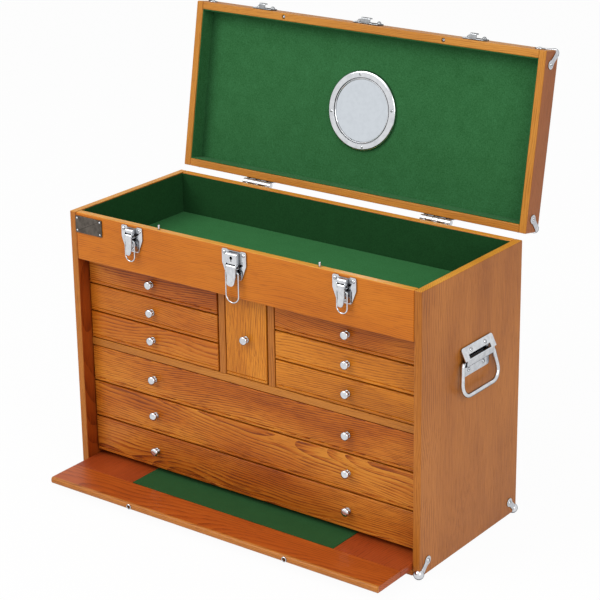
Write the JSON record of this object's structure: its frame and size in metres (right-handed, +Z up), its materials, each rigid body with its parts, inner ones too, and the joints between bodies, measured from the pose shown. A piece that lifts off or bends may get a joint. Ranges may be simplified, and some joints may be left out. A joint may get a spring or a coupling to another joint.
{
  "type": "tool chest",
  "caption": "Wooden tool chest with a felt-lined tray and mirror under a hinged lid, draw latches, side handles, knobbed drawers and a front panel that slides in under them.",
  "frame": {"origin": "on the floor under the middle of the case's footprint", "axes": "+Z up, -Y towards the front with the drawers, +X to the right as seen from the front"},
  "size_m": [0.5544, 0.3664, 0.5864],
  "materials": {
    "oak": "satin varnish",
    "oak_panel": "satin varnish",
    "felt": "matt felt",
    "chrome": "bright plated",
    "mirror": "silvered glass"
  },
  "bodies": {
    "case": {"left_side": "oak", "right_side": "oak", "back_panel": "oak", "base_panel": "oak", "front_rail": "oak", "tray_floor": "oak", "tray_lining": "felt", "drawer_frame": "oak", "hinge_case_leaf_left": "chrome", "hinge_case_leaf_right": "chrome", "latch_plate_left": "chrome", "latch_plate_centre": "chrome", "latch_plate_right": "chrome", "handle_plate_left": "chrome", "handle_plate_right": "chrome"},
    "lid": {"lid_frame": "oak", "lid_top": "oak", "lid_lining": "felt", "mirror_bezel": "chrome", "mirror_glass": "mirror", "lid_catch_left": "chrome", "lid_catch_centre": "chrome", "lid_catch_right": "chrome", "hinge_lid_leaf_left": "chrome", "hinge_lid_leaf_right": "chrome"},
    "front_panel": {"front_panel": "oak_panel", "front_panel_felt": "felt"},
    "lock_pin_left": {"lock_pin_left": "chrome"},
    "lock_pin_right": {"lock_pin_right": "chrome"},
    "drawer_wide_bottom": {"drawer_wide_bottom": "oak", "knob_wide_bottom_left": "chrome", "knob_wide_bottom_right": "chrome"},
    "drawer_wide_middle": {"drawer_wide_middle": "oak", "knob_wide_middle_left": "chrome", "knob_wide_middle_right": "chrome"},
    "drawer_wide_top": {"drawer_wide_top": "oak", "knob_wide_top_left": "chrome", "knob_wide_top_right": "chrome"},
    "drawer_left_bottom": {"drawer_left_bottom": "oak", "knob_left_bottom": "chrome"},
    "drawer_right_bottom": {"drawer_right_bottom": "oak", "knob_right_bottom": "chrome"},
    "drawer_left_middle": {"drawer_left_middle": "oak", "knob_left_middle": "chrome"},
    "drawer_right_middle": {"drawer_right_middle": "oak", "knob_right_middle": "chrome"},
    "drawer_left_top": {"drawer_left_top": "oak", "knob_left_top": "chrome"},
    "drawer_right_top": {"drawer_right_top": "oak", "knob_right_top": "chrome"},
    "drawer_centre": {"drawer_centre": "oak", "knob_centre": "chrome"},
    "latch_lever_left": {"latch_lever_left": "chrome"},
    "latch_bail_left": {"latch_bail_left": "chrome"},
    "latch_lever_centre": {"latch_lever_centre": "chrome"},
    "latch_bail_centre": {"latch_bail_centre": "chrome"},
    "latch_lever_right": {"latch_lever_right": "chrome"},
    "latch_bail_right": {"latch_bail_right": "chrome"},
    "handle_bail_left": {"handle_bail_left": "chrome"},
    "handle_bail_right": {"handle_bail_right": "chrome"}
  },
  "joints": [
    {"name": "lid_hinge", "type": "hinge", "parent": "case", "child": "lid", "pos_m": [0, 0.11505, 0.3576], "axis": [-1, 0, 0], "range_deg": [-100, 0]},
    {"name": "lock_pin_left_press", "type": "slide", "parent": "case", "child": "lock_pin_left", "axis": [0, 0, 1], "range_m": [-0.006, 0]},
    {"name": "lock_pin_right_press", "type": "slide", "parent": "case", "child": "lock_pin_right", "axis": [0, 0, 1], "range_m": [-0.006, 0]},
    {"name": "front_panel_slide", "type": "slide", "parent": "case", "child": "front_panel", "axis": [0, -1, 0], "range_m": [0, 0.17]},
    {"name": "drawer_wide_bottom_slide", "type": "slide", "parent": "case", "child": "drawer_wide_bottom", "axis": [0, -1, 0], "range_m": [0, 0.15]},
    {"name": "drawer_wide_middle_slide", "type": "slide", "parent": "case", "child": "drawer_wide_middle", "axis": [0, -1, 0], "range_m": [0, 0.15]},
    {"name": "drawer_wide_top_slide", "type": "slide", "parent": "case", "child": "drawer_wide_top", "axis": [0, -1, 0], "range_m": [0, 0.15]},
    {"name": "drawer_left_bottom_slide", "type": "slide", "parent": "case", "child": "drawer_left_bottom", "axis": [0, -1, 0], "range_m": [0, 0.15]},
    {"name": "drawer_right_bottom_slide", "type": "slide", "parent": "case", "child": "drawer_right_bottom", "axis": [0, -1, 0], "range_m": [0, 0.15]},
    {"name": "drawer_left_middle_slide", "type": "slide", "parent": "case", "child": "drawer_left_middle", "axis": [0, -1, 0], "range_m": [0, 0.15]},
    {"name": "drawer_right_middle_slide", "type": "slide", "parent": "case", "child": "drawer_right_middle", "axis": [0, -1, 0], "range_m": [0, 0.15]},
    {"name": "drawer_left_top_slide", "type": "slide", "parent": "case", "child": "drawer_left_top", "axis": [0, -1, 0], "range_m": [0, 0.15]},
    {"name": "drawer_right_top_slide", "type": "slide", "parent": "case", "child": "drawer_right_top", "axis": [0, -1, 0], "range_m": [0, 0.15]},
    {"name": "drawer_centre_slide", "type": "slide", "parent": "case", "child": "drawer_centre", "axis": [0, -1, 0], "range_m": [0, 0.15]},
    {"name": "latch_lever_left_lift", "type": "hinge", "parent": "case", "child": "latch_lever_left", "pos_m": [-0.1605, -0.1162, 0.3445], "axis": [1, 0, 0], "range_deg": [-100, 0]},
    {"name": "latch_bail_left_swing", "type": "hinge", "parent": "latch_lever_left", "child": "latch_bail_left", "pos_m": [-0.1605, -0.1162, 0.338], "axis": [-1, 0, 0], "range_deg": [0, 184]},
    {"name": "latch_lever_centre_lift", "type": "hinge", "parent": "case", "child": "latch_lever_centre", "pos_m": [0, -0.1162, 0.336], "axis": [1, 0, 0], "range_deg": [-100, 0]},
    {"name": "latch_bail_centre_swing", "type": "hinge", "parent": "latch_lever_centre", "child": "latch_bail_centre", "pos_m": [0, -0.1162, 0.3295], "axis": [-1, 0, 0], "range_deg": [0, 184]},
    {"name": "latch_lever_right_lift", "type": "hinge", "parent": "case", "child": "latch_lever_right", "pos_m": [0.1605, -0.1162, 0.3445], "axis": [1, 0, 0], "range_deg": [-100, 0]},
    {"name": "latch_bail_right_swing", "type": "hinge", "parent": "latch_lever_right", "child": "latch_bail_right", "pos_m": [0.1605, -0.1162, 0.338], "axis": [-1, 0, 0], "range_deg": [0, 184]},
    {"name": "handle_left_swing", "type": "hinge", "parent": "case", "child": "handle_bail_left", "pos_m": [-0.269, 0.006, 0.2432], "axis": [0, 1, 0], "range_deg": [0, 82]},
    {"name": "handle_right_swing", "type": "hinge", "parent": "case", "child": "handle_bail_right", "pos_m": [0.269, 0.006, 0.2432], "axis": [0, -1, 0], "range_deg": [0, 82]}
  ],
  "couplings": [
    {"joint": "lock_pin_left_press", "follows": "lid_hinge", "m_per_rad": 0.0034},
    {"joint": "lock_pin_right_press", "follows": "lid_hinge", "m_per_rad": 0.0034}
  ]
}
